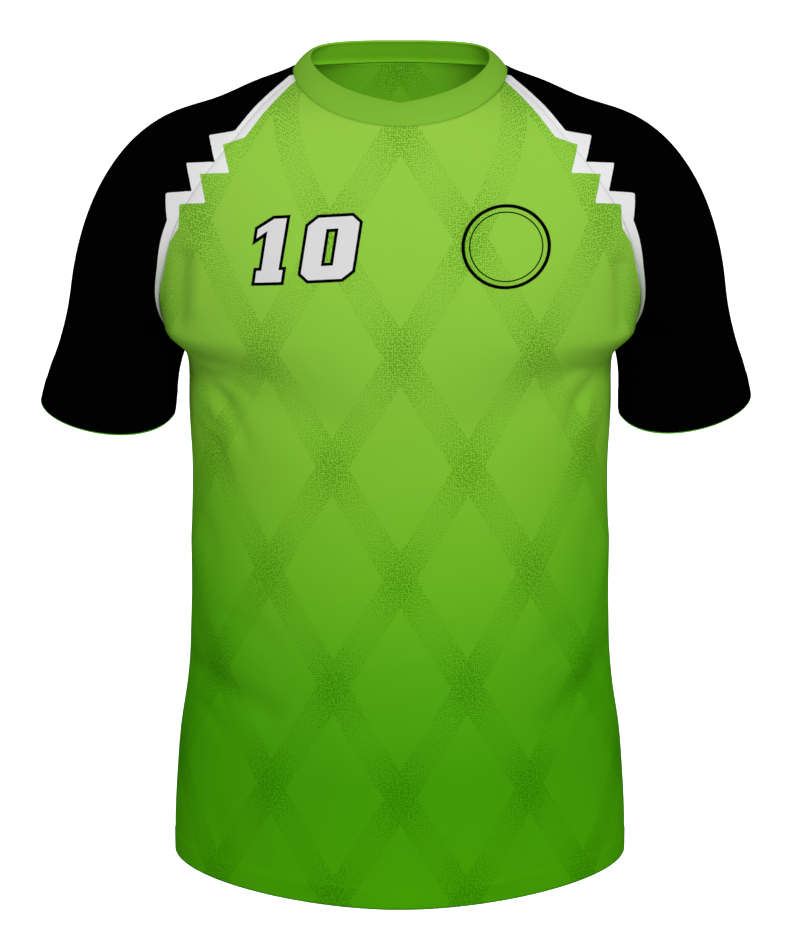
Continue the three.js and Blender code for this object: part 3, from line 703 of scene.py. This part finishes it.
def stippled_lattice(tree, place, across, down):
    """The share of a dark dot at a point of the tonal print, a lattice of tall diamonds in stipple."""
    slant = add(tree, "Math", {0: across, 1: 1000 / DIAMOND_WIDE}, operation="MULTIPLY")
    fall = add(tree, "Math", {0: down, 1: 1000 / DIAMOND_HIGH}, operation="MULTIPLY")
    apart = 1 / math.hypot(1 / DIAMOND_WIDE, 1 / DIAMOND_HIGH)
    edge = BAND_HALF / apart
    ways = [
        add(tree, "Math", {0: slant, 1: fall}, operation=operation)
        for operation in ("ADD", "SUBTRACT")
    ]
    near = [add(tree, "Math", {0: way, 1: 0.5}, operation="PINGPONG") for way in ways]
    shares = []
    for own, other in (near, near[::-1]):
        band = add(tree, "Math", {0: own, 1: edge}, operation="LESS_THAN")
        fade = add(tree, "MapRange", {"Value": other, 1: 0.0, 2: BAND_FADES, 3: 1.0, 4: 0.5})
        shares.append(add(tree, "Math", {0: band, 1: fade}, operation="MULTIPLY"))
    share = add(tree, "Math", {0: shares[0], 1: shares[1]}, operation="MAXIMUM")
    dots = add(
        tree,
        "TexVoronoi",
        {"Vector": place, "Scale": 1000 / DOT_APART, "Randomness": 0.6},
        voronoi_dimensions="2D",
    )
    size = add(tree, "Math", {0: share, 1: DOT_FULL}, operation="MULTIPLY")
    low = add(tree, "Math", {0: size, 1: DOT_EDGE_IN}, operation="SUBTRACT")
    high = add(tree, "Math", {0: size, 1: DOT_EDGE_OUT}, operation="ADD")
    dot = add(tree, "MapRange", {"Value": dots, 1: low, 2: high, 3: 1.0, 4: 0.0})
    inside = add(tree, "Math", {0: share, 1: 0.01}, operation="GREATER_THAN")
    return add(tree, "Math", {0: dot, 1: inside}, operation="MULTIPLY")


def eased(tree, value, begins, full):
    """0 where the value is at begins, 1 where it is at full, and a smooth step between."""
    inputs = {"Value": value, 1: begins, 2: full, 3: 0.0, 4: 1.0}
    return add(tree, "MapRange", inputs, interpolation_type="SMOOTHSTEP")


def green_ground(tree, place, across, down):
    """The green that runs from light at the neck to deep at the hem, with its tonal print and painted
    shade by the side seams.
    """
    share = add(tree, "Math", {0: down, 1: 1000 / PANEL_LONG}, operation="MULTIPLY")
    # painted shade: the ramp is pushed deeper towards the side seams, halfway down
    aside = add(tree, "Math", {0: across}, operation="ABSOLUTE")
    painted_side_shade = eased(tree, aside, SIDE_SHADE_BEGINS, SIDE_SHADE_FULL)
    for begins, full in ((SHADE_DOWN_BEGINS, SHADE_DOWN_FULL), (SHADE_DOWN_GONE, SHADE_DOWN_FADES)):
        part = eased(tree, share, begins, full)
        painted_side_shade = add(tree, "Math", {0: painted_side_shade, 1: part}, operation="MULTIPLY")
    share = add(tree, "Math", {0: painted_side_shade, 1: SIDE_SHADE_DEPTH, 2: share}, operation="MULTIPLY_ADD")
    ramp = tree.nodes.new("ShaderNodeValToRGB")
    tree.links.new(share, ramp.inputs[0])
    stops = ramp.color_ramp.elements
    for _ in GROUND[2:]:
        stops.new(0.5)
    for stop, (at, code) in zip(stops, GROUND):
        stop.position = at
        stop.color = linear(code)
    dot = stippled_lattice(tree, place, across, down)
    darker = mixed(tree, 1.0, ramp.outputs[0], linear("BAD298"), "MULTIPLY")
    return mixed(tree, dot, ramp.outputs[0], darker)


def stripe_sides(tree):
    """Two shares: how far a point lies past the body's edge of the white stripe, and past the sleeve's."""
    beside, down = across_and_down(tree, add(tree, "UVMap", {}, uv_map="raglan"))
    along = add(tree, "Math", {0: down, 1: 1000 / STRIPE[-1][0]}, operation="MULTIPLY")
    found = []
    for column in (1, 2):
        curve = add(tree, "FloatCurve", {"Value": along})
        rows = [(row[0], row[column]) for row in STRIPE]
        shape_curve(curve.node, rows, (STRIPE[-1][0], STRIPE_ACROSS), "VECTOR")
        middle = add(tree, "Math", {0: curve, 1: 0.5}, operation="SUBTRACT")
        found.append(add(tree, "Math", {0: middle, 1: STRIPE_ACROSS * MM}, operation="MULTIPLY"))
    centre, half = found
    away = add(tree, "Math", {0: beside, 1: centre}, operation="SUBTRACT")
    past_sleeve = add(tree, "Math", {0: away, 1: half}, operation="GREATER_THAN")
    back_half = add(tree, "Math", {0: half, 1: -1.0}, operation="MULTIPLY")
    past_body = add(tree, "Math", {0: away, 1: back_half}, operation="LESS_THAN")
    return past_body, past_sleeve


def printed_interlock(name, inside=False):
    """Sublimated polyester interlock: dull and even, its print sunk into the yarn, no gloss of its own."""
    made, tree, shader = material(name, 0.85, 0.0)
    place, across, down = cloth_place(tree)
    ground = green_ground(tree, place, across, down)
    # painted shade and green bounce light: the inside's copy of the print takes a deeper green tint
    if inside:
        ground = mixed(tree, 1.0, ground, INSIDE_PAINTED_SHADE_TINT, "MULTIPLY")
    past_body, past_sleeve = stripe_sides(tree)
    white = mixed(tree, past_body, linear("DFDFDF"), ground)
    colour = mixed(tree, past_sleeve, white, linear("020202"))
    tree.links.new(colour, shader.inputs["Base Color"])
    knit_bump(tree, shader, place, 0.12)
    return made


def plain_interlock(name, code, deep_code):
    """Dyed polyester interlock of one colour, a little uneven as knitted cloth is."""
    made, tree, shader = material(name, 0.88, 0.0)
    place, _, _ = cloth_place(tree)
    cloud = add(tree, "TexNoise", {"Vector": place, "Scale": 9.0, "Detail": 2.0})
    colour = mixed(tree, cloud, linear(code), linear(deep_code))
    tree.links.new(colour, shader.inputs["Base Color"])
    knit_bump(tree, shader, place, 0.15)
    return made


def plain_finish(name, code, roughness, specular, grain):
    """Thread, or a heat-pressed film whose face takes the cloth's fine grain."""
    made, tree, shader = material(name, roughness, specular)
    place = add(tree, "TexCoord", {}, out="Object")
    speck = add(tree, "TexNoise", {"Vector": place, "Scale": 1000 / grain, "Detail": 2.0})
    shade = add(tree, "MapRange", {"Value": speck, 3: 0.94, 4: 1.0})
    colour = mixed(tree, 1.0, linear(code), shade, "MULTIPLY")
    tree.links.new(colour, shader.inputs["Base Color"])
    bump = add(tree, "Bump", {"Height": speck, "Strength": 0.15, "Distance": 0.0003})
    tree.links.new(bump, shader.inputs["Normal"])
    return made


body_cloth = printed_interlock("printed_polyester_interlock")
# a copy of the printed cloth for the inside, with painted shade and green bounce light
body_inside_painted_shade = printed_interlock("printed_interlock_inside_painted_shade", inside=True)
arm_cloth = printed_interlock("black_printed_interlock")
inner_cloth = plain_interlock("green_interlock_inside", "5CC01C", "56B818")
neck_cloth = plain_interlock("green_neck_interlock", "7AB335", "74AD31")
# painted light: the band's inner face is the same cloth as its outer face, painted a brighter, greener
# colour
neck_inside_painted_light = plain_interlock("green_neck_interlock_inside_painted_light", "7DD027", "77C823")
green_thread = plain_finish("green_polyester_thread", "6FB02F", 0.6, 0.3, 2.0)
pale_thread = plain_finish("pale_green_thread", "B9E486", 0.6, 0.3, 2.0)
black_thread = plain_finish("black_polyester_thread", "070707", 0.7, 0.1, 2.0)
white_film = plain_finish("white_heat_pressed_film", "D2D2D2", 0.6, 0.15, 1.2)
black_film = plain_finish("black_heat_pressed_film", "020202", 0.75, 0.0, 1.2)

LAST_BODY_ROW = len(FRONT_ROWS) - 1
LAST_SLEEVE_ROW = len(SLEEVE_ROWS) - 1
body_numbers = numbers_of(LAST_BODY_ROW, BODY_STEPS)
sleeve_numbers = numbers_of(LAST_SLEEVE_ROW, SLEEVE_STEPS)
sleeve_numbers = np.insert(sleeve_numbers, -1, LAST_SLEEVE_ROW - CUFF_TRIM)
body_shares = shares_of(BODY_HALF_STEPS, True)
sleeve_shares = shares_of(SLEEVE_HALF_STEPS, False)
panels = {
    "front": (body_sheet(front, "front", body_numbers, body_shares), 1),
    "sleeve_right": (sleeve_sheet("right", sleeve_numbers, sleeve_shares), 1),
    "back": (body_sheet(back, "back", body_numbers, body_shares), -1),
    "sleeve_left": (sleeve_sheet("left", sleeve_numbers, sleeve_shares), -1),
}


def cloth_maps(sheet, side):
    """Each point's place on its flat piece, and its place beside the raglan seams."""
    rows = sheet[0]
    across = lengths_along(rows, 1)
    middle = rows.shape[1] // 2
    down = lengths_along(rows, 0)[:, middle : middle + 1] + np.zeros(rows.shape[1])
    return {
        "cloth": (across - across[:, middle : middle + 1], down),
        "raglan": raglan_place(rows, side),
    }


def flat_size(sheet):
    """The width, length and area of a sheet before its folds, in metres."""
    rows = sheet[0] * MM
    width = lengths_along(rows, 1)[:, -1].max()
    length = lengths_along(rows, 0)[-1].max()
    cross = np.cross(rows[1:, 1:] - rows[:-1, :-1], rows[1:, :-1] - rows[:-1, 1:])
    return (width, length), np.linalg.norm(cross, axis=2).sum() / 2


def kept(obj, node):
    """Attaches a cloth piece to the root body and hides its solid."""
    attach(obj, "root")
    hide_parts(node)


shown = {}
for name, (sheet, winding) in panels.items():
    arm = name.startswith("sleeve")
    rows = dressed(sheet, winding, CUFF_DEPTH if arm else HEM_DEPTH)
    shown[name] = rows
    finishes = (arm_cloth, inner_cloth) if arm else (body_cloth, body_inside_painted_shade)
    maps = cloth_maps(sheet, 1 if arm else -1)
    piece = sheet_object(name + "_cloth", rows, maps, finishes, trimmed=arm)
    low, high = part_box(name)
    faces_point_out(piece, (low + high) / 2 + Vector((0, 0 if arm else winding * BEHIND, 0)))
    thicken(piece, CLOTH_SHOWN)
    flat, area = flat_size(sheet)
    print(name, "flat size", [round(v, 3) for v in flat], "area", round(area, 4))
    kept(piece, name)


def neck_stations(count):
    """Points evenly spaced round the neck seam from the middle of the front, and how the cloth faces."""
    points, faces = [], []
    for name, backwards in (
        ("front", False),
        ("sleeve_right", False),
        ("back", True),
        ("sleeve_left", True),
    ):
        (rows, ends, _), winding = panels[name]
        turn = slice(None, None, -1) if backwards else slice(None)
        points.append(shown[name][0][turn][:-1])
        faces.append(facings(rows, ends, winding)[0][turn][:-1])
    start = BODY_HALF_STEPS
    points = np.roll(np.concatenate(points), -start, axis=0)
    faces = np.roll(np.concatenate(faces), -start, axis=0)
    points, faces = (np.concatenate([part, part[:1]]) for part in (points, faces))
    gone = np.concatenate([[0], np.cumsum(np.linalg.norm(np.diff(points, axis=0), axis=1))])
    at = np.linspace(0, gone[-1], count + 1)
    points, faces = (
        np.stack([np.interp(at, gone, part[:, k]) for k in range(3)], 1) for part in (points, faces)
    )
    return points, unit(faces), gone[-1]


def neck_edge(count):
    """The neck band's free edge, evenly spaced round from the middle of the front."""
    curves = [spline(column) for column in zip(*NECK_EDGE)]
    fine = np.linspace(0, len(NECK_EDGE) - 1, 400)
    half = np.array([[curve(n) for curve in curves] for n in fine])
    gone = np.concatenate([[0], np.cumsum(np.linalg.norm(np.diff(half, axis=0), axis=1))])
    share = np.linspace(0, 1, count + 1)
    at = (1 - np.abs(1 - 2 * share)) * gone[-1]
    edge = np.stack([np.interp(at, gone, half[:, k]) for k in range(3)], 1)
    edge[share > 0.5, 0] *= -1
    return edge


def neck_band():
    """The folded neck band: its outer face, its rolled edge, its inner face and the seam between."""
    seam, facing, seam_length = neck_stations(COLLAR_STATIONS)
    up = neck_edge(COLLAR_STATIONS) - seam
    width = np.linalg.norm(up, axis=1)[:, None]
    up = up / width
    out = unit(facing - up * (facing * up).sum(axis=1)[:, None])
    radius = COLLAR_BAND / 2

    def at(along, outward):
        return seam + up * along + out * outward

    def swell(share):
        groove = SEAM_DIP * (1 - np.exp(-((share * width / SEAM_DIP_WIDTH) ** 2)))
        return 4 * BAND_SWELL * share * (1 - share) + groove

    def thick(share):
        return SEAM_THICK + (COLLAR_BAND - SEAM_THICK) * smooth(share / BAND_FULL)

    shares = np.linspace(0, 1, 16)[1:-1] ** 1.2
    turns = np.radians(np.linspace(0, 180, 11))
    outer = [at(share * width, swell(share)) for share in shares]
    roll = [
        at(width - radius + radius * math.sin(t), radius * (math.cos(t) - 1) + SEAM_DIP)
        for t in turns
    ]
    inner = [at(share * width, swell(share) - thick(share)) for share in shares[::-1]]
    rows = np.stack([seam, *outer, *roll, *inner, seam - facing * SEAM_THICK, seam], axis=1)
    around = np.linspace(0, seam_length, COLLAR_STATIONS + 1)[:, None] + np.zeros(rows.shape[1])
    maps = {"cloth": (lengths_along(rows, 1), around)}
    piece = sheet_object("collar_cloth", rows, maps, (neck_cloth, neck_inside_painted_light))
    bm = bmesh.new()
    bm.from_mesh(piece.data)
    first_inside = 1 + len(outer) + len(roll) * 2 // 3
    for face in bm.faces:
        columns = {vert.index % rows.shape[1] for vert in face.verts}
        face.material_index = int(min(columns) >= first_inside)
    bmesh.ops.remove_doubles(bm, verts=bm.verts[:], dist=1e-7)
    bmesh.ops.recalc_face_normals(bm, faces=bm.faces[:])
    bm.to_mesh(piece.data)
    bm.free()
    kept(piece, "collar")


def contour(rows, gone, depth):
    """The line that lies depth from where gone is 0, one point for each column of a sheet."""
    found = []
    for k in range(rows.shape[1]):
        order = np.argsort(gone[:, k])
        found.append([np.interp(depth, gone[order, k], rows[order, k, c]) for c in range(3)])
    return np.array(found)


def stitches(name, rails, thread, pitch=STITCH_PITCH, length=THREAD_LENGTH):
    """Short threads laid end to end along rails, each a line of points and the way the cloth faces."""
    bm = bmesh.new()
    for points, faces in rails:
        gone = np.concatenate([[0], np.cumsum(np.linalg.norm(np.diff(points, axis=0), axis=1))])
        at = np.arange(pitch / 2, gone[-1], pitch)
        places, ahead, behind, outs = (
            np.stack([np.interp(where, gone, part[:, c]) for c in range(3)], 1)
            for where, part in ((at, points), (at + 0.5, points), (at - 0.5, points), (at, faces))
        )
        for place, way, out in zip(places, unit(ahead - behind), unit(outs)):
            side = unit(np.cross(out, way))
            turn = Matrix((way, side, np.cross(way, side))).transposed().to_4x4()
            size = Matrix.Diagonal((length, THREAD_WIDTH, THREAD_WIDTH, 1))
            spot = Matrix.Translation(Vector(place + out * THREAD_OUT) * MM)
            bmesh.ops.create_icosphere(
                bm, subdivisions=1, radius=0.5, matrix=spot @ turn @ (size * MM)
            )
    made = in_scene(name, mesh_of(bm, name), thread)
    smooth_shaded(made.data)
    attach(made, "root")


def hem_rails(name, depth):
    """Two needle rows round a turned hem, depth up from the edge."""
    (rows, ends, _), winding = panels[name]
    placed = shown[name]
    normals = facings(placed, ends, winding)
    down = lengths_along(placed, 0)
    left = down[-1] - down
    trim = slice(1, -1)
    return [
        (contour(placed, left, up)[trim], contour(normals, left, up)[trim])
        for up in (depth - 1, depth - 1 - ROW_APART)
    ]


def inner_neck_rail():
    """The line of the seam's threads that shows inside the back of the neck."""
    rows = shown["back"]
    (_, ends, _), winding = panels["back"]
    normals = facings(rows, ends, winding)
    down = lengths_along(rows, 0)
    line, faces = contour(rows, down, NECK_THREAD_DOWN), contour(normals, down, NECK_THREAD_DOWN)
    middle = slice(NECK_THREADS_FROM, -NECK_THREADS_FROM)
    return line[middle] - faces[middle] * (CLOTH_SHOWN + THREAD_OUT), -faces[middle]


neck_band()
stitches("hem_threads_front", hem_rails("front", HEM_DEPTH), green_thread)
stitches("hem_threads_back", hem_rails("back", HEM_DEPTH), green_thread)
for side in ("right", "left"):
    rails = hem_rails("sleeve_" + side, CUFF_DEPTH)
    stitches("cuff_threads_" + side, rails, black_thread)
stitches(
    "neck_seam_threads",
    [inner_neck_rail()],
    pale_thread,
    NECK_THREAD_PITCH,
    NECK_THREAD_LENGTH,
)

# The player's number, in plain slanted block figures, and a bare double ring on the other side of the
# chest. Each outline is in millimetres from its figure's lower left corner, before it is slanted.
ONE = ((0, 0), (27.6, 0), (27.6, 15.2), (24, 15.2), (24.4, 57.8), (10, 57.8), (-4.2, 48.8),
       (-4.2, 34), (4.2, 40), (4.2, 15.2), (0, 15.2))
NOUGHT = ((0, 7.5), (9, 0), (39, 0), (48.4, 7.5), (48.4, 48.7), (39.4, 56.2), (9, 56.2),
          (0, 48.7))
NOUGHT_HOLE = ((21.2, 16.5), (26, 16.5), (26, 41.5), (21.2, 41.5))
FIGURES = (
    # the figure's loops, and its lower left corner on the chest
    ((ONE,), (-125.8, -174.2)),
    ((NOUGHT, NOUGHT_HOLE), (-87.5, -171.4)),
)
SLANT, CLIMB = 0.16, 0.06  # how far a figure leans to the right, and how far its lines climb
OUTLINE = 2.6
FILM, FILM_STEP = 0.18, 4.0  # a film's thickness, and the size of the faces that it is laid in
RING_MIDDLE = (89, -141)
RING_LOW = 0.92  # how much lower a round ring is, seen level, where the chest leans back
RINGS = ((37.9, 34.9), (31.4, 30.3))  # the outer and inner radius of each
RING_SIDES = 96


def front_surface():
    """The front's outer face, for laying films on it."""
    mesh = bpy.data.objects["front_cloth"].data
    corners = [tuple(p.vertices) for p in mesh.polygons]
    return BVHTree.FromPolygons([v.co for v in mesh.vertices], corners)


def laid_on_front(bm, name, films):
    """Cuts a flat shape into small faces and lays it on the front, with a film's thickness."""
    for axis, way in ((0, Vector((1, 0, 0))), (2, Vector((0, 0, 1)))):
        places = [v.co[axis] for v in bm.verts]
        for at in np.arange(min(places) + FILM_STEP, max(places), FILM_STEP):
            everything = bm.verts[:] + bm.edges[:] + bm.faces[:]
            bmesh.ops.bisect_plane(bm, geom=everything, dist=1e-4, plane_co=way * at, plane_no=way)
    surface = front_surface()
    for vert in bm.verts:
        start = Vector((vert.co.x * MM, -1, vert.co.z * MM))
        spot, normal, _, _ = surface.ray_cast(start, Vector((0, 1, 0)))
        if normal.y > 0:
            normal.negate()
        vert.co = spot + normal * FILM * MM
    bmesh.ops.recalc_face_normals(bm, faces=bm.faces[:])
    if sum(face.normal.y for face in bm.faces) > 0:
        bmesh.ops.reverse_faces(bm, faces=bm.faces[:])
    made = in_scene(name, mesh_of(bm, name), *films)
    wall = made.modifiers.new("film", "SOLIDIFY")
    wall.thickness = FILM * MM
    wall.offset = -1
    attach(made, "root")


def number_film():
    """The white figures with their black outline, pressed on the right of the chest."""
    whole = bmesh.new()
    for loops, (left, low) in FIGURES:
        for loop in loops:
            corners = [
                whole.verts.new((left + x + SLANT * z, 0, low + z + CLIMB * x)) for x, z in loop
            ]
            for pair in zip(corners, corners[1:] + corners[:1]):
                whole.edges.new(pair)
    corners = {tuple(round(c, 3) for c in vert.co) for vert in whole.verts}
    bmesh.ops.triangle_fill(whole, use_beauty=True, use_dissolve=False, edges=whole.edges[:])
    black = bmesh.ops.inset_region(
        whole,
        faces=whole.faces[:],
        use_boundary=True,
        use_even_offset=True,
        thickness=OUTLINE,
    )["faces"]
    rim = {edge for face in black for edge in face.edges}
    bmesh.ops.delete(whole, geom=[f for f in whole.faces if f not in black], context="FACES")
    placed = {vert for vert in whole.verts if tuple(round(c, 3) for c in vert.co) in corners}
    inner = [edge for edge in rim if edge.is_boundary and not placed.issuperset(edge.verts)]
    for face in black:
        face.material_index = 1
    bmesh.ops.triangle_fill(whole, use_beauty=True, use_dissolve=False, edges=inner)
    laid_on_front(whole, "player_number", (white_film, black_film))


def ring_film():
    """Two plain rings, one within the other, on the left of the chest."""
    whole = bmesh.new()
    for outer, inner in RINGS:
        edges = []
        for radius in (outer, inner):
            made = bmesh.ops.create_circle(whole, segments=RING_SIDES, radius=radius)
            edges += list({e for v in made["verts"] for e in v.link_edges})
        bmesh.ops.bridge_loops(whole, edges=edges)
    x, z = RING_MIDDLE
    upright = Matrix.Translation((x, 0, z)) @ Matrix.Diagonal((1, 1, RING_LOW, 1))
    upright = upright @ Matrix.Rotation(math.radians(90), 4, "X")
    bmesh.ops.transform(whole, matrix=upright, verts=whole.verts[:])
    laid_on_front(whole, "chest_rings", (black_film,))


number_film()
ring_film()

# The room: a pale floor that turns up behind into a backdrop, soft even light from ahead and above, and
# the camera where the photograph's was, a little above the chest.
FLOOR_Z, FLOOR_HALF, BACK_Y, BACK_ROUND, BACK_HIGH = -1.25, 6.0, 4.0, 1.6, 5.0
ROOM_HALF = 9.0
ROOM_LIGHT = 0.28  # even light from all round
CAMERA_AT = (-0.00406, -2.2, 0.15)
CAMERA_SEES = (-0.00406, 0, -0.3636)
IMAGE_HIGH, FOCAL_PIXELS, SENSOR_HIGH = 950, 2501.6, 24.0


def studio():
    """The floor with its backdrop, and walls all round for the views from behind."""
    bm = bmesh.new()
    bmesh.ops.create_grid(bm, x_segments=8, y_segments=60, size=1)
    for vert in bm.verts:
        along = (vert.co.y + 1) / 2 * (BACK_Y + FLOOR_HALF + BACK_HIGH)
        flat = BACK_Y + FLOOR_HALF - BACK_ROUND
        turn = min(max((along - flat) / BACK_ROUND, 0), math.pi / 2)
        rise = max(along - flat - BACK_ROUND * math.pi / 2, 0)
        y = -FLOOR_HALF + min(along, flat) + BACK_ROUND * math.sin(turn)
        z = FLOOR_Z + BACK_ROUND * (1 - math.cos(turn)) + rise
        vert.co = (vert.co.x * FLOOR_HALF, y, z)
    paper, _, shader = material("pale_studio_paper", 0.9, 0.1)
    shader.inputs["Base Color"].default_value = linear("FAFAFA")
    shader.inputs["Emission Color"].default_value = linear("FFFFFF")
    shader.inputs["Emission Strength"].default_value = 0.9
    floor = in_scene("studio_floor", mesh_of(bm, "studio_floor"), paper)
    smooth_shaded(floor.data)
    walls = bmesh.new()
    bmesh.ops.create_uvsphere(walls, u_segments=48, v_segments=24, radius=ROOM_HALF)
    bmesh.ops.reverse_faces(walls, faces=walls.faces[:])
    room = in_scene("studio_walls", mesh_of(walls, "studio_walls"), paper)
    room.visible_shadow = False
    for pale in (floor, room):
        pale.visible_diffuse = False  # bright paper near the cloth would flatten its shading
        pale.visible_glossy = False


def soft_light(name, place, size, power):
    """A round soft lamp in watts that is turned to the jersey."""
    lamp = bpy.data.lights.new(name, "AREA")
    lamp.shape = "DISK"
    lamp.size = size
    lamp.energy = power
    made = in_scene(name, lamp)
    made.location = place
    way = Vector(CAMERA_SEES) - Vector(place)
    made.rotation_euler = way.to_track_quat("-Z", "Y").to_euler()


def photographer():
    """The camera that sees what the photograph shows."""
    lens = bpy.data.cameras.new("camera")
    lens.sensor_fit = "VERTICAL"
    lens.sensor_height = SENSOR_HIGH
    lens.lens = FOCAL_PIXELS / IMAGE_HIGH * SENSOR_HIGH
    camera = in_scene("camera", lens)
    camera.location = CAMERA_AT
    way = Vector(CAMERA_SEES) - Vector(CAMERA_AT)
    camera.rotation_euler = way.to_track_quat("-Z", "Y").to_euler()
    bpy.context.scene.camera = camera


studio()
soft_light("key", (0.5, -3.2, 1.5), 2.4, 96)
soft_light("behind", (-0.5, 3.2, 1.4), 2.4, 70)
soft_light("left_fill", (-2.6, -1.9, -0.1), 1.6, 15)
soft_light("right_fill", (2.6, -1.9, -0.1), 1.6, 15)
photographer()
world = bpy.data.worlds.new("soft_white_room")
bpy.context.scene.world = world
world.use_nodes = True
air = world.node_tree.nodes["Background"].inputs
air["Color"].default_value = (1, 1, 1, 1)
air["Strength"].default_value = ROOM_LIGHT
bpy.context.scene.view_settings.view_transform = "Standard"
